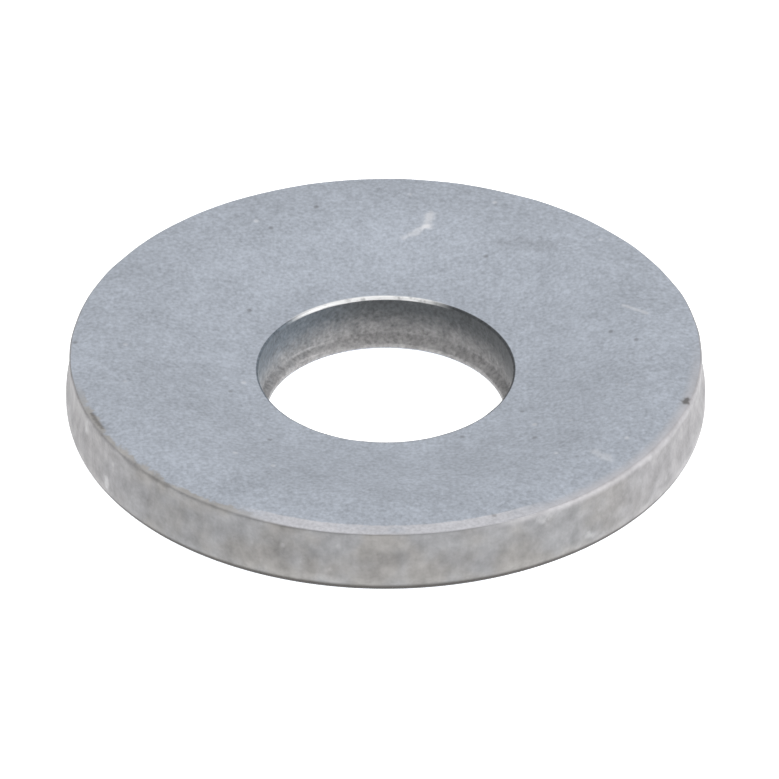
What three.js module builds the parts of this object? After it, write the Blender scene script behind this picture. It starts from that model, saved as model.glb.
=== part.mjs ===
// A large-series flat washer for a 6 mm bolt, pierced and blanked from steel sheet in one stroke.
// The stroke leaves a smooth sheared band low on each cut edge and a rougher torn band above it,
// and it pushes the middle of the blank down, so the upper face is slightly hollow and the
// underside bellies out a little.
// The frame is millimetres with +Z up. The origin is the hole's axis, level with the underside's
// bearing ring, which is the lowest face.
import * as THREE from "three";

// Sizes of the blank.
const outerDiameter = 17.7; // across the outer edge's sheared band, the widest place
const holeDiameter = 6.6; // across the hole's sheared band, the narrowest place
const sheetThickness = 1.6; // at the hole
const hollow = 0.54; // how far the upper face drops from its bearing ring to the hole
const belly = 0.2; // how far the underside drops from the outer edge to its bearing ring
const landWidth = 0.45; // each flat bearing ring: under the hole's rim, and near the top's edge
const marginWidth = 0.6; // strip of the upper face outside its bearing ring, worn by tumbling
const marginDrop = 0.03; // how far the worn strip falls away towards the outer edge

// The outer edge, from the underside up.
const rimRollover = 0.35; // radius where the sheet rolled over the die
const rimShearHeight = 0.7; // top of the sheared band, above the rim's underside
const rimTearDepth = 0.1; // how far the torn band stands in from the sheared band
const rimTearStep = 0.8; // height over which the one band leans in to the other
const rimBreak = 0.08; // radius of the upper corner

// The bolt hole, from the underside up.
const holeRollover = 0.1; // radius where the sheet rolled over the punch
const holeShearHeight = 0.16; // top of the sheared band, above the hole's underside
const holeTearDepth = 0.23; // how far the torn band stands back from the sheared band
const holeTearStep = 0.28; // height over which the one band passes into the other
const holeBreak = 0.07; // burr worn off by tumbling

const segments = 96; // facets round the axis
const arcSteps = 4; // facets along each rounded edge

// Points of a quarter round from one angle to the next, in radians from the outward direction.
function quarterRound(centreRadius, centreHeight, roundRadius, startAngle) {
  const points = [];
  for (let step = 0; step <= arcSteps; step++) {
    const angle = startAngle + (Math.PI / 2) * (step / arcSteps);
    points.push(
      new THREE.Vector2(
        centreRadius + roundRadius * Math.cos(angle),
        centreHeight + roundRadius * Math.sin(angle),
      ),
    );
  }
  return points;
}

// The outer edge's outline, from the end of the underside up to the top face's worn strip.
function rimOutline() {
  const radius = outerDiameter / 2;
  const tornRadius = radius - rimTearDepth;
  const underside = belly;
  const top = sheetThickness + hollow - marginDrop;
  const shearTop = underside + rimShearHeight;
  return [
    ...quarterRound(radius - rimRollover, underside + rimRollover, rimRollover, -Math.PI / 2),
    new THREE.Vector2(radius, shearTop),
    new THREE.Vector2(tornRadius, shearTop + rimTearStep),
    ...quarterRound(tornRadius - rimBreak, top - rimBreak, rimBreak, 0),
  ];
}

// The hole's outline, from the end of the top face down to the start of the underside.
function holeOutline() {
  const radius = holeDiameter / 2;
  const tornRadius = radius + holeTearDepth;
  return [
    ...quarterRound(tornRadius + holeBreak, sheetThickness - holeBreak, holeBreak, Math.PI / 2),
    new THREE.Vector2(tornRadius, holeShearHeight + holeTearStep),
    new THREE.Vector2(radius, holeShearHeight),
    ...quarterRound(radius + holeRollover, holeRollover, holeRollover, Math.PI),
  ];
}

// The washer's section through one side, closed on itself. Each face slopes between a flat
// bearing ring at one end and the edge at its other end.
function section() {
  const rim = rimOutline();
  const hole = holeOutline();
  const landTop = sheetThickness + hollow;
  const landOuterRadius = rim[rim.length - 1].x - marginWidth;
  const undersideStart = hole[hole.length - 1];
  return [
    ...rim,
    new THREE.Vector2(landOuterRadius, landTop),
    new THREE.Vector2(landOuterRadius - landWidth, landTop),
    ...hole,
    new THREE.Vector2(undersideStart.x + landWidth, undersideStart.y),
    rim[0].clone(),
  ];
}

// The section turned round the axis, which LatheGeometry takes as Y and the washer as Z.
const ring = new THREE.LatheGeometry(section(), segments).rotateX(Math.PI / 2);

const tumbledSteel = new THREE.MeshStandardMaterial({
  color: 0xa7adb7,
  roughness: 0.6,
  metalness: 0.85,
});

const flatWasher = new THREE.Mesh(ring, tumbledSteel);
flatWasher.name = "flat_washer";

const washer = new THREE.Group();
washer.add(flatWasher);

export default washer;
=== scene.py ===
import math

import bpy
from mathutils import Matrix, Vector, noise


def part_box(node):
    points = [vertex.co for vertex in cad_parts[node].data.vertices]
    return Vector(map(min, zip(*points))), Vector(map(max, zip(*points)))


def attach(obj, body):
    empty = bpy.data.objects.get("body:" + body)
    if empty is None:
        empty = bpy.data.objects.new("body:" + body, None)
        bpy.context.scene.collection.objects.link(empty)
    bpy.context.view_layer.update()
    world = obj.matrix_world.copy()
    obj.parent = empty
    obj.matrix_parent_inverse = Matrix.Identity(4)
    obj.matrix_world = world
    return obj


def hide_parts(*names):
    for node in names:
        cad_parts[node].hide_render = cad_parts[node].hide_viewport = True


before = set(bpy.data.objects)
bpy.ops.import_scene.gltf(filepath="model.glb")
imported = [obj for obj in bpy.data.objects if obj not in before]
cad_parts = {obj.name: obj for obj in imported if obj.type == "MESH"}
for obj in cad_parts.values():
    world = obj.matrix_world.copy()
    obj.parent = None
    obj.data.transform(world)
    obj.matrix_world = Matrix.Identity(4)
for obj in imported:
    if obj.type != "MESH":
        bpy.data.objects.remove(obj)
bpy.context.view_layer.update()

MM = 0.001
lowest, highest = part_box("flat_washer")


# ---------------------------------------------------------------------------------------------
# The washer: one ring pierced and blanked from steel sheet in a single stroke, then tumbled.
# The stroke leaves a smooth sheared band low on each cut edge with a rough torn band above it,
# rolls the underside's edges over, and pushes the middle down, so the top is slightly hollow.

outer_radius = (highest[0] - lowest[0]) / 2 / MM
full_height = (highest[2] - lowest[2]) / MM
hole_radius = 3.3
sheet_thickness = 1.6
belly = 0.2
land_width = 0.45
margin_width = 0.6
margin_drop = 0.03

rim_roll_width = 0.3
rim_roll_height = 0.5
rim_shear_height = 0.7
rim_tear_depth = 0.1
rim_tear_step = 0.8
rim_break = 0.08

hole_rollover = 0.1
hole_shear_height = 0.16
hole_tear_depth = 0.23
hole_tear_step = 0.28
hole_break = 0.07

rim_top_height = full_height - margin_drop
rim_torn_radius = outer_radius - rim_tear_depth
hole_torn_radius = hole_radius + hole_tear_depth

# Wear of the top's outer corner. Each has its middle and its spread to either side, and its depth.
# Directions are in degrees round the hole's axis: 0 is the right, and -90 is the front.
rounded_middle, rounded_spread, rounded_depth = -30, 40, 0.1
chewed_middle, chewed_spread, chewed_depth = -140, 35, 0.12
corner_dents = [(-155, 3, 0.06), (-15, 1, 0.05)]

steps_around = 720
band_gap = 0.03  # from the end of a round to the first point of the band beside it
face_gap = 0.05  # from the end of a round to the first point of the face beside it


def wander(angle, waves, row):
    """A smooth wandering value, about -1 to 1, that meets itself after one turn of the ring."""
    return noise.noise(Vector((waves * math.cos(angle), waves * math.sin(angle), row)))


def straight(start, end, steps):
    """Points from start up to, but not including, end."""
    return [
        (start[0] + (end[0] - start[0]) * k / steps, start[1] + (end[1] - start[1]) * k / steps)
        for k in range(steps)
    ]


def quarter_turn(centre, reach, rise, start_angle, steps):
    """A quarter of an ellipse that reaches out and rises by these amounts, with both ends."""
    points = []
    for k in range(steps + 1):
        angle = start_angle + math.pi / 2 * k / steps
        points.append((centre[0] + reach * math.cos(angle), centre[1] + rise * math.sin(angle)))
    return points


def ease(start, end, value, bend=0.3):
    """From 0 at start to 1 at end, straight between, with a smooth bend at each end."""
    share = min(max((value - start) / (end - start), 0.0), 1.0)
    if share < bend:
        return share * share / (2 * bend * (1 - bend))
    if share > 1 - bend:
        return 1 - (1 - share) ** 2 / (2 * bend * (1 - bend))
    return (share - bend / 2) / (1 - bend)


def slope(start, end, steps):
    """Points of an S-shaped slope from start up to, but not including, end."""
    points = []
    for k in range(steps):
        share = ease(0, 1, k / steps, bend=0.5)
        radius = start[0] + (end[0] - start[0]) * share
        points.append((radius, start[1] + (end[1] - start[1]) * k / steps))
    return points


def beside(angle, middle, width):
    """1 at the middle, falling smoothly to 0 at this many degrees to either side of it."""
    away = abs((math.degrees(angle) - middle + 180) % 360 - 180)
    return 1 - ease(0, width, away, bend=0.5)


def corner_wear(angle):
    """How far the top's outer corner is broken: rounder on one side, chewed on another."""
    rounder = rounded_depth * beside(angle, rounded_middle, rounded_spread)
    bites = max(0.5 + wander(angle, 22, 9) + 0.7 * wander(angle, 50, 10), 0)
    chewed = chewed_depth * bites * beside(angle, chewed_middle, chewed_spread)
    dents = sum(depth * beside(angle, middle, spread) for middle, spread, depth in corner_dents)
    return rim_break * (1 + 0.4 * wander(angle, 8, 1)) + rounder + chewed + dents


def rim_section(angle):
    """The outer edge, from the end of the underside up to the start of the top face."""
    torn = outer_radius - rim_tear_depth * (1 + 0.15 * wander(angle, 9, 3))
    shear_top = belly + rim_shear_height + 0.1 * wander(angle, 4, 4)
    tear_top = shear_top + rim_tear_step
    edge_break = corner_wear(angle)
    corner = rim_top_height - edge_break
    roll_top = belly + rim_roll_height
    centre = (outer_radius - rim_roll_width, roll_top)
    points = quarter_turn(centre, rim_roll_width, rim_roll_height, -math.pi / 2, steps=12)
    points += straight((outer_radius, roll_top + band_gap), (outer_radius, shear_top), steps=4)
    points += slope((outer_radius, shear_top), (torn, tear_top), steps=14)
    points += straight((torn, tear_top), (torn, corner), steps=5)
    points += quarter_turn((torn - edge_break, corner), edge_break, edge_break, 0, steps=9)
    return points


def hole_section(angle):
    """The bolt hole, from the end of the top face down to the start of the underside."""
    torn = hole_radius + hole_tear_depth * (1 + 0.06 * wander(angle, 5, 6))
    edge_break = hole_break * (1 + 0.25 * wander(angle, 6, 5))
    shear_top = hole_shear_height + 0.03 * wander(angle, 4, 7)
    tear_top = shear_top + hole_tear_step
    corner = sheet_thickness - edge_break
    centre = (torn + edge_break, corner)
    points = quarter_turn(centre, edge_break, edge_break, math.pi / 2, steps=6)
    points += straight((torn, corner - band_gap), (torn, tear_top), steps=12)
    points += slope((torn, tear_top), (hole_radius, shear_top), steps=12)
    centre = (hole_radius + hole_rollover, hole_rollover)
    points += quarter_turn(centre, hole_rollover, hole_rollover, math.pi, steps=6)
    return points


def top_height(radius, start, end):
    """The upper face: a bearing ring near the edge, a worn strip outside it, a hollow inside."""
    land_outer = end - margin_width
    land_inner = land_outer - land_width
    if radius > land_outer:
        return full_height - margin_drop * ease(land_outer, end, radius)
    hollow = full_height - sheet_thickness
    return sheet_thickness + hollow * ease(start, land_inner, radius)


def ring_section(angle):
    """The whole section at one angle, from the underside's outer end round to its inner end."""
    rim = rim_section(angle)
    hole = hole_section(angle)
    rim_start, rim_end = rim[0][0], rim[-1][0]
    hole_start, hole_end = hole[0][0], hole[-1][0]
    top = [
        (radius, top_height(radius, hole_start, rim_end))
        for radius, _ in straight((rim_end - face_gap, 0), (hole_start, 0), steps=36)
    ]
    underside = [
        (radius, belly * ease(hole_end + land_width, rim_start, radius))
        for radius, _ in straight((hole_end + face_gap, 0), (rim_start, 0), steps=14)
    ]
    return rim + top + hole + underside


def build_ring():
    """The ring's points and faces, one section after another round the axis."""
    points, faces = [], []
    for step in range(steps_around):
        angle = 2 * math.pi * step / steps_around
        for radius, height in ring_section(angle):
            points.append(Vector((radius * math.cos(angle), radius * math.sin(angle), height)) * MM)
    around = len(points) // steps_around
    for step in range(steps_around):
        here = step * around
        there = (step + 1) % steps_around * around
        for k in range(around):
            after = (k + 1) % around
            faces.append((here + k, there + k, there + after, here + after))
    return points, faces


ring_points, ring_faces = build_ring()
ring_mesh = bpy.data.meshes.new("washer_ring")
ring_mesh.from_pydata(ring_points, [], ring_faces)
ring_mesh.shade_smooth()
washer = bpy.data.objects.new("washer_ring", ring_mesh)
bpy.context.collection.objects.link(washer)


def place(tree, kind, inputs=None, **settings):
    """A shader node with its settings made, and each input linked or set."""
    node = tree.nodes.new(kind)
    for name, value in settings.items():
        setattr(node, name, value)
    for key, value in (inputs or {}).items():
        if isinstance(value, bpy.types.NodeSocket):
            tree.links.new(value, node.inputs[key])
        else:
            node.inputs[key].default_value = value
    return node


def sums(tree, operation, *values):
    """One step of arithmetic on numbers."""
    return place(tree, "ShaderNodeMath", dict(enumerate(values)), operation=operation).outputs[0]


def arrows(tree, operation, *values):
    """One step of arithmetic on places and directions, which gives a place or direction."""
    inputs = dict(enumerate(values))
    return place(tree, "ShaderNodeVectorMath", inputs, operation=operation).outputs["Vector"]


def reach(tree, operation, *values):
    """One step of arithmetic on places and directions, which gives a number."""
    inputs = dict(enumerate(values))
    return place(tree, "ShaderNodeVectorMath", inputs, operation=operation).outputs["Value"]


def fade(tree, value, low, high):
    """0 where the value is below low, 1 where it is above high, and smooth between."""
    inputs = {"Value": value, "From Min": low, "From Max": high}
    return place(tree, "ShaderNodeMapRange", inputs, interpolation_type="SMOOTHSTEP").outputs[0]


def tint(tree, share, first, second):
    """A colour between the first, at share 0, and the second, at share 1."""
    inputs = {0: share, 6: first, 7: second}
    return place(tree, "ShaderNodeMix", inputs, data_type="RGBA").outputs[2]


def kept_to_one(tree, value):
    """The value, kept between 0 and 1."""
    return place(tree, "ShaderNodeClamp", {0: value}).outputs[0]


def shade(tree, colour, tone):
    """The colour times the tone."""
    inputs = {0: 1.0, 6: colour, 7: tone}
    mix = place(tree, "ShaderNodeMix", inputs, data_type="RGBA", blend_type="MULTIPLY")
    return mix.outputs[2]


def cloudy(tree, position, size, detail=2.0):
    """Noise from 0 to 1 whose clouds are about this many millimetres across."""
    inputs = {"Vector": position, "Scale": 1 / size, "Detail": detail}
    return place(tree, "ShaderNodeTexNoise", inputs).outputs["Fac"]


def start_group(name, inputs, outputs):
    """An empty shader node group, with its named inputs to read and its outputs to fill."""
    tree = bpy.data.node_groups.new(name, "ShaderNodeTree")
    for label, kind in inputs.items():
        tree.interface.new_socket(label, in_out="INPUT", socket_type="NodeSocket" + kind)
    for label, kind in outputs.items():
        tree.interface.new_socket(label, in_out="OUTPUT", socket_type="NodeSocket" + kind)
    given = tree.nodes.new("NodeGroupInput").outputs
    made = tree.nodes.new("NodeGroupOutput").inputs
    return tree, given, made


def use_group(tree, group, **inputs):
    """The outputs of a node group placed with these inputs."""
    node = tree.nodes.new("ShaderNodeGroup")
    node.node_tree = group
    for label, value in inputs.items():
        socket = node.inputs[label.replace("_", " ").capitalize()]
        if isinstance(value, bpy.types.NodeSocket):
            tree.links.new(value, socket)
        else:
            socket.default_value = value
    return node.outputs


def tumbled_grain():
    """The fine dull grain that tumbling with stones leaves on the faces."""
    tree, given, made = start_group(
        "tumbled_grain", {"Position": "Vector"}, {"Tone": "Float", "Height": "Float"})
    fine = cloudy(tree, given["Position"], 0.1, 2.0)
    coarse = cloudy(tree, given["Position"], 0.3, 3.0)
    broad = cloudy(tree, given["Position"], 1.6, 3.0)
    grain = sums(tree, "ADD", sums(tree, "MULTIPLY", fine, 0.7), sums(tree, "MULTIPLY", coarse, 0.3))
    spread = sums(tree, "ADD", grain, sums(tree, "MULTIPLY", broad, 0.3))
    tree.links.new(sums(tree, "SUBTRACT", spread, 0.65), made["Tone"])
    tree.links.new(grain, made["Height"])
    return tree


def sheared_mottle():
    """The blotches and short upright lines that the die leaves on a cut edge."""
    tree, given, made = start_group(
        "sheared_mottle", {"Position": "Vector"},
        {"Tone": "Float", "Warmth": "Float", "Height": "Float"})
    upright = arrows(tree, "MULTIPLY", given["Position"], (1.0, 1.0, 0.45))
    blotches = cloudy(tree, given["Position"], 0.45, 2.5)
    lines = cloudy(tree, upright, 0.13, 2.0)
    fine = cloudy(tree, given["Position"], 0.08, 1.0)
    rough = sums(tree, "ADD", sums(tree, "MULTIPLY", lines, 0.5), sums(tree, "MULTIPLY", fine, 0.5))
    spread = sums(tree, "ADD", blotches, sums(tree, "MULTIPLY", rough, 0.4))
    tree.links.new(sums(tree, "SUBTRACT", spread, 0.7), made["Tone"])
    tree.links.new(cloudy(tree, given["Position"], 1.3, 2.0), made["Warmth"])
    tree.links.new(sums(tree, "ADD", rough, sums(tree, "MULTIPLY", blotches, 0.6)), made["Height"])
    return tree


def tumbled_specks():
    """Small pits and bright specks, scattered at random where tumbled pieces struck each other."""
    tree, given, made = start_group(
        "tumbled_specks", {"Position": "Vector"}, {"Pits": "Float", "Specks": "Float"})
    spacing = 1.2
    heart = 0.03
    edge = 0.11
    for label, shift in (("Pits", 0.0), ("Specks", 40.0)):
        moved = arrows(tree, "ADD", given["Position"], (shift, 0.0, 0.0))
        cells = place(tree, "ShaderNodeTexVoronoi", {"Vector": moved, "Scale": 1 / spacing})
        away = sums(tree, "MULTIPLY", cells.outputs["Distance"], spacing)
        tree.links.new(sums(tree, "SUBTRACT", 1.0, fade(tree, away, heart, edge)), made[label])
    return tree


def knock():
    """One knock: a dot or a short stroke from Start to End, ragged by the noise it is given."""
    tree, given, made = start_group(
        "knock",
        {"Position": "Vector", "Start": "Vector", "End": "Vector", "Width": "Float", "Ragged": "Float"},
        {"Mask": "Float"})
    along = arrows(tree, "SUBTRACT", given["End"], given["Start"])
    out = arrows(tree, "SUBTRACT", given["Position"], given["Start"])
    length_squared = reach(tree, "DOT_PRODUCT", along, along)
    share = sums(tree, "DIVIDE", reach(tree, "DOT_PRODUCT", out, along), length_squared)
    inputs = {0: along, "Scale": kept_to_one(tree, share)}
    nearest = place(tree, "ShaderNodeVectorMath", inputs, operation="SCALE")
    away = arrows(tree, "SUBTRACT", out, nearest.outputs["Vector"])
    distance = place(tree, "ShaderNodeVectorMath", {0: away}, operation="LENGTH").outputs["Value"]
    wobble = sums(tree, "MULTIPLY", sums(tree, "SUBTRACT", given["Ragged"], 0.5), given["Width"])
    distance = sums(tree, "ADD", distance, sums(tree, "MULTIPLY", wobble, 1.2))
    heart = sums(tree, "MULTIPLY", given["Width"], 0.1)
    edge = sums(tree, "MULTIPLY", given["Width"], 0.7)
    tree.links.new(sums(tree, "SUBTRACT", 1.0, fade(tree, distance, heart, edge)), made["Mask"])
    return tree


def on_face(degrees, radius):
    """A place on the upper face, in this direction from the hole."""
    angle = math.radians(degrees)
    height = top_height(radius, hole_torn_radius, rim_torn_radius)
    return (radius * math.cos(angle), radius * math.sin(angle), height)


def on_edge_at(degrees, height):
    """A place on the outer cut edge, in this direction from the hole."""
    angle = math.radians(degrees)
    return (outer_radius * math.cos(angle), outer_radius * math.sin(angle), height)


# The larger knocks: a start and an end, a width, and how pale (or dark, below zero) each is.
knocks = [
    (on_face(85, 6), on_face(80, 6.5), 0.22, 0.35),
    (on_face(80, 6.5), on_face(80, 7), 0.3, 0.45),
    (on_face(60, 6.5), on_face(50, 7), 0.6, -0.14),
    (on_face(20, 7), on_face(15, 7.5), 0.14, 0.3),
    (on_face(-40, 7.5), on_face(-40, 8), 0.3, 0.25),
    (on_face(-160, 8.6), on_face(-155, 8.6), 0.17, -0.55),
    (on_face(-15, 8.6), on_face(-16, 8.6), 0.24, -0.75),
    (on_edge_at(-60, 1.8), on_edge_at(-61, 1.8), 0.34, 0.25),
    (on_edge_at(-50, 0.7), on_edge_at(-51, 0.8), 0.24, 0.18),
    (on_edge_at(-150, 0.9), on_edge_at(-150, 0.7), 0.24, 0.3),
    (on_edge_at(-160, 1.8), on_edge_at(-160, 1.6), 0.3, 0.25),
]

face_steel = (0.416, 0.449, 0.505, 1)
cut_cool = (0.27, 0.272, 0.28, 1)
cut_warm = (0.272, 0.265, 0.258, 1)
cut_painted_sheen = (0.315, 0.31, 0.318, 1)
rolled_painted_shade = (0.06, 0.055, 0.05, 1)
worn_steel_and_highlight = (0.55, 0.55, 0.58, 1)
rubbed_steel = (0.52, 0.51, 0.53, 1)
chewed_steel = (0.385, 0.376, 0.37, 1)
torn_painted_lit_left = (0.15, 0.177, 0.207, 1)
torn_painted_shade = (0.078, 0.083, 0.088, 1)
sheared_bore_and_bounce_light = (0.36, 0.352, 0.352, 1)
painted_rim_highlight = (0.85, 0.85, 0.85, 1)
pale_mark = (0.8, 0.8, 0.82, 1)
dark_mark = (0.07, 0.06, 0.05, 1)

face_roughness = 0.5
grain_roughness = 0.25
edge_roughness = 0.1
relief_depth = 0.02  # millimetres
relief_strength = 0.8

steel = bpy.data.materials.new("tumbled_steel")
steel.use_nodes = True
tree = steel.node_tree
shader = tree.nodes["Principled BSDF"]
shader.inputs["Metallic"].default_value = 0.75

texture_place = place(tree, "ShaderNodeTexCoord")
millimetres = arrows(tree, "MULTIPLY", texture_place.outputs["Object"], (1 / MM, 1 / MM, 1 / MM))
flat_place = arrows(tree, "MULTIPLY", millimetres, (1.0, 1.0, 0.0))
outward = arrows(tree, "NORMALIZE", flat_place)
radius = place(tree, "ShaderNodeVectorMath", {0: flat_place}, operation="LENGTH").outputs["Value"]
height = place(tree, "ShaderNodeSeparateXYZ", {0: millimetres}).outputs["Z"]
rise = place(tree, "ShaderNodeSeparateXYZ", {0: texture_place.outputs["Normal"]}).outputs["Z"]

grain = use_group(tree, tumbled_grain(), position=millimetres)
mottle = use_group(tree, sheared_mottle(), position=millimetres)
ragged = cloudy(tree, millimetres, 0.25, 3.0)
patchy = cloudy(tree, millimetres, 0.6, 2.0)
unruly = sums(tree, "SUBTRACT", ragged, 0.5)


def toned(colour, tone, strength):
    """The colour made paler and darker by the tone."""
    return shade(tree, colour, sums(tree, "ADD", 1.0, sums(tree, "MULTIPLY", tone, strength)))


def along_ring(degrees, low, high):
    """1 on the side of the ring that faces this way, falling to 0 away from it."""
    way = (math.cos(math.radians(degrees)), math.sin(math.radians(degrees)), 0.0)
    return fade(tree, reach(tree, "DOT_PRODUCT", outward, way), low, high)


def both(*masks):
    """Where every mask is 1."""
    result = masks[0]
    for mask in masks[1:]:
        result = sums(tree, "MULTIPLY", result, mask)
    return result


def without(mask):
    """Where the mask is 0."""
    return sums(tree, "SUBTRACT", 1.0, mask)


# Faces: cool grey, with the grain.
face_colour = toned(face_steel, grain["Tone"], 1.1)

# Cut edge: grey that wanders between warm and cool, with a painted sheen towards both ends of the
# front where the edge is seen at a grazing angle, a little paler low on the sheared band (partly
# burnish, partly a painted reflection of the white table), and painted shade where it rolls under.
warmth = fade(tree, mottle["Warmth"], 0.35, 0.65)
cut_colour = tint(tree, warmth, cut_cool, cut_warm)
# Painted sheen: paler towards the right-hand and left-hand ends of the edge.
cut_colour = tint(tree, along_ring(-10, 0.7, 1.0), cut_colour, cut_painted_sheen)
cut_colour = tint(tree, both(along_ring(-170, 0.8, 1.0), 0.8), cut_colour, cut_painted_sheen)
cut_colour = toned(cut_colour, mottle["Tone"], 0.8)
# Paler band low on the edge: partly burnish, partly a painted reflection of the white table.
above_roll = fade(tree, height, belly + 0.1, belly + 0.25)
high_on_edge = fade(tree, height, belly + 0.4, belly + 0.6)
burnish_and_table_sheen = both(above_roll, without(high_on_edge))
cut_colour = toned(cut_colour, burnish_and_table_sheen, 0.12)
# Painted shade: where the roll faces down, the colour is made nearly black.
downward = sums(tree, "MULTIPLY", rise, -1.0)
underside_painted_shade = sums(tree, "MULTIPLY", fade(tree, downward, 0.22, 0.45), 0.9)
cut_colour = tint(tree, underside_painted_shade, cut_colour, rolled_painted_shade)

# Bore: painted shade, darkest high up on the torn band, and paler lower down on the sheared band,
# partly its smoother finish and partly painted light bounced from the table under the hole; paler
# and cooler to the left, painted light from the right-hand lamp.
# Painted light: the left side of the bore, which faces the right-hand lamp, is paler and cooler.
torn_band_painted_shade = tint(tree, along_ring(180, 0.1, 1.0), torn_painted_shade, torn_painted_lit_left)
# Painted shade high in the bore, and painted bounce light from the table lower down.
ragged_height = sums(tree, "ADD", height, sums(tree, "MULTIPLY", unruly, 0.6))
sheared_band_and_bounce = without(fade(tree, ragged_height, -0.1, 1.3))
bore_colour = tint(tree, sheared_band_and_bounce, torn_band_painted_shade, sheared_bore_and_bounce_light)
bore_colour = toned(bore_colour, mottle["Tone"], 0.15)
bore_colour = toned(bore_colour, grain["Tone"], 1.8)

# Where the bore and the cut edge begin. The cut edge is whatever is steep in the outer half, and
# the roll below it, which turns nearly flat.
in_bore = both(
    without(fade(tree, radius, hole_torn_radius + 0.045, hole_torn_radius + 0.075)),
    fade(tree, height, 0.03, 0.1))
steep = without(fade(tree, sums(tree, "ABSOLUTE", rise), 0.8, 0.98))
in_outer_half = fade(tree, radius, 6.0, 6.1)
under_roll = both(
    fade(tree, radius, outer_radius - 0.35, outer_radius - 0.25),
    without(fade(tree, height, belly + 0.3, belly + 0.5)))
on_edge = sums(tree, "MAXIMUM", both(steep, in_outer_half), under_roll)
colour = tint(tree, on_edge, face_colour, cut_colour)
colour = tint(tree, in_bore, colour, bore_colour)

# Worn, with painted highlights: bright along the top's outer edge in front, partly wear and partly
# a painted highlight, rubbed to the right of that, chewed to the left, and a painted highlight on
# the far side of the hole's rim.
worn_from = sums(tree, "ADD", radius, sums(tree, "MULTIPLY", unruly, 0.1))
chewed_from = sums(tree, "ADD", radius, sums(tree, "MULTIPLY", unruly, 0.6))
# Bright strip in front: partly wear, partly a painted highlight.
strip = both(
    fade(tree, worn_from, rim_torn_radius - 0.43, rim_torn_radius - 0.37),
    fade(tree, height, rim_top_height - 0.15, rim_top_height - 0.07),
    fade(tree, rise, 0.5, 0.9),
    along_ring(-88, 0.84, 0.95),
    fade(tree, patchy, 0.1, 0.45))
rubbed = both(
    fade(tree, worn_from, rim_torn_radius - 0.4, rim_torn_radius - 0.1),
    fade(tree, height, rim_top_height - 0.26, rim_top_height - 0.01),
    along_ring(-35, 0.75, 0.95),
    0.7)
chewed = both(
    fade(tree, chewed_from, rim_torn_radius - 0.25, rim_torn_radius - 0.1),
    fade(tree, rise, 0.6, 0.95),
    along_ring(-140, 0.84, 0.95))
# Painted highlight on the far side of the hole's rim, where its corner faces the camera.
hole_rim_highlight = both(
    without(fade(tree, radius, hole_torn_radius + 0.05, hole_torn_radius + 0.11)),
    fade(tree, height, sheet_thickness - 0.1, sheet_thickness - 0.06),
    along_ring(100, 0.74, 0.93),
    fade(tree, ragged, 0.1, 0.5))
colour = tint(tree, chewed, colour, toned(chewed_steel, mottle["Tone"], 0.6))
colour = tint(tree, rubbed, colour, toned(rubbed_steel, mottle["Tone"], 0.4))
colour = tint(tree, strip, colour, toned(worn_steel_and_highlight, grain["Tone"], 0.8))
colour = tint(tree, hole_rim_highlight, colour, painted_rim_highlight)

# Knocks and specks, fainter on the cut edge.
specks = use_group(tree, tumbled_specks(), position=millimetres)
knock_group = knock()
off_edge = without(sums(tree, "MULTIPLY", on_edge, 0.7))
pale = both(specks["Specks"], 0.35, off_edge)
dark = both(specks["Pits"], 0.4, off_edge)
for start, end, width, strength in knocks:
    struck = use_group(
        tree, knock_group, position=millimetres, start=start, end=end, width=width, ragged=ragged)
    if strength > 0:
        pale = sums(tree, "ADD", pale, sums(tree, "MULTIPLY", struck["Mask"], strength))
    else:
        dark = sums(tree, "ADD", dark, sums(tree, "MULTIPLY", struck["Mask"], -strength))
colour = tint(tree, kept_to_one(tree, pale), colour, pale_mark)
colour = tint(tree, kept_to_one(tree, dark), colour, dark_mark)
tree.links.new(colour, shader.inputs["Base Color"])

rougher_grain = sums(tree, "MULTIPLY", grain["Tone"], grain_roughness)
rougher_edge = sums(tree, "MULTIPLY", on_edge, edge_roughness)
roughness = sums(tree, "ADD", sums(tree, "ADD", face_roughness, rougher_grain), rougher_edge)
tree.links.new(roughness, shader.inputs["Roughness"])
edge_relief = sums(tree, "MULTIPLY", mottle["Height"], sums(tree, "MULTIPLY", on_edge, 0.7))
relief = sums(tree, "ADD", grain["Height"], edge_relief)
bump_inputs = {"Height": relief, "Distance": relief_depth * MM, "Strength": relief_strength}
bump = place(tree, "ShaderNodeBump", bump_inputs)
tree.links.new(bump.outputs["Normal"], shader.inputs["Normal"])
ring_mesh.materials.append(steel)

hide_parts("flat_washer")
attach(washer, "root")


# ---------------------------------------------------------------------------------------------
# The studio: a lit white table under a pale sky, a wide soft light overhead, a second one to the
# right, and a long lens.

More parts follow.
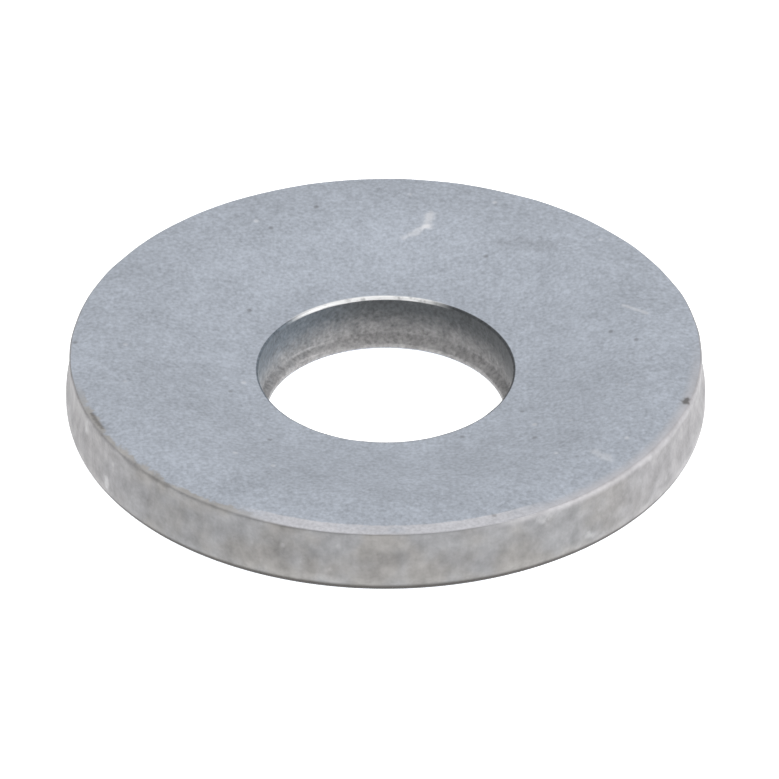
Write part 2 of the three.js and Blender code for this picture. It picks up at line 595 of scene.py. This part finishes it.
table_reach = 1.0
table_mesh = bpy.data.meshes.new("table")
table_mesh.from_pydata(
    [(-table_reach, -table_reach, 0), (table_reach, -table_reach, 0),
     (table_reach, table_reach, 0), (-table_reach, table_reach, 0)],
    [], [(0, 1, 2, 3)])
table = bpy.data.objects.new("table", table_mesh)
bpy.context.collection.objects.link(table)
white = bpy.data.materials.new("lit_white_table")
white.use_nodes = True
white_shader = white.node_tree.nodes["Principled BSDF"]
white_shader.inputs["Base Color"].default_value = (0.9, 0.9, 0.9, 1)
white_shader.inputs["Roughness"].default_value = 0.9
white_shader.inputs["Emission Color"].default_value = (1, 1, 1, 1)
white_shader.inputs["Emission Strength"].default_value = 0.8
table_mesh.materials.append(white)

world = bpy.data.worlds.new("studio")
world.use_nodes = True
world.node_tree.nodes["Background"].inputs["Color"].default_value = (1, 1, 1, 1)
world.node_tree.nodes["Background"].inputs["Strength"].default_value = 0.84
bpy.context.scene.world = world
bpy.context.scene.view_settings.view_transform = "Standard"


def soft_light(name, size, watts, position):
    """A round soft light that faces the washer."""
    lamp = bpy.data.lights.new(name, "AREA")
    lamp.shape = "DISK"
    lamp.size = size
    lamp.energy = watts
    obj = bpy.data.objects.new(name, lamp)
    obj.location = position
    toward_washer = Vector((0, 0, 0)) - Vector(position)
    obj.rotation_euler = toward_washer.to_track_quat("-Z", "Y").to_euler()
    bpy.context.collection.objects.link(obj)


soft_light("overhead", size=0.3, watts=0.12, position=(0.0, 0.05, 0.3))
soft_light("right_hand", size=0.15, watts=0.25, position=(0.25, -0.08, 0.1))

# The middle of the view is a little to the right of the rim's centre, and below it.
elevation = math.radians(34.31)
distance = 60 * outer_radius * MM
aim_right = 0.105 * MM
aim_down = 0.992 * MM
lens = bpy.data.cameras.new("long_lens")
lens.sensor_width = 36
lens.lens = 887.8
lens.clip_start = 0.01
lens.clip_end = 5
camera = bpy.data.objects.new("long_lens", lens)
toward_camera = Vector((0, -math.cos(elevation), math.sin(elevation)))
up = Vector((0, math.sin(elevation), math.cos(elevation)))
rim_centre = Vector((0, 0, rim_top_height)) * MM
look_at = rim_centre + Vector((aim_right, 0, 0)) - up * aim_down
camera.location = rim_centre + toward_camera * distance
camera.rotation_euler = (look_at - camera.location).to_track_quat("-Z", "Y").to_euler()
bpy.context.collection.objects.link(camera)
bpy.context.scene.camera = camera
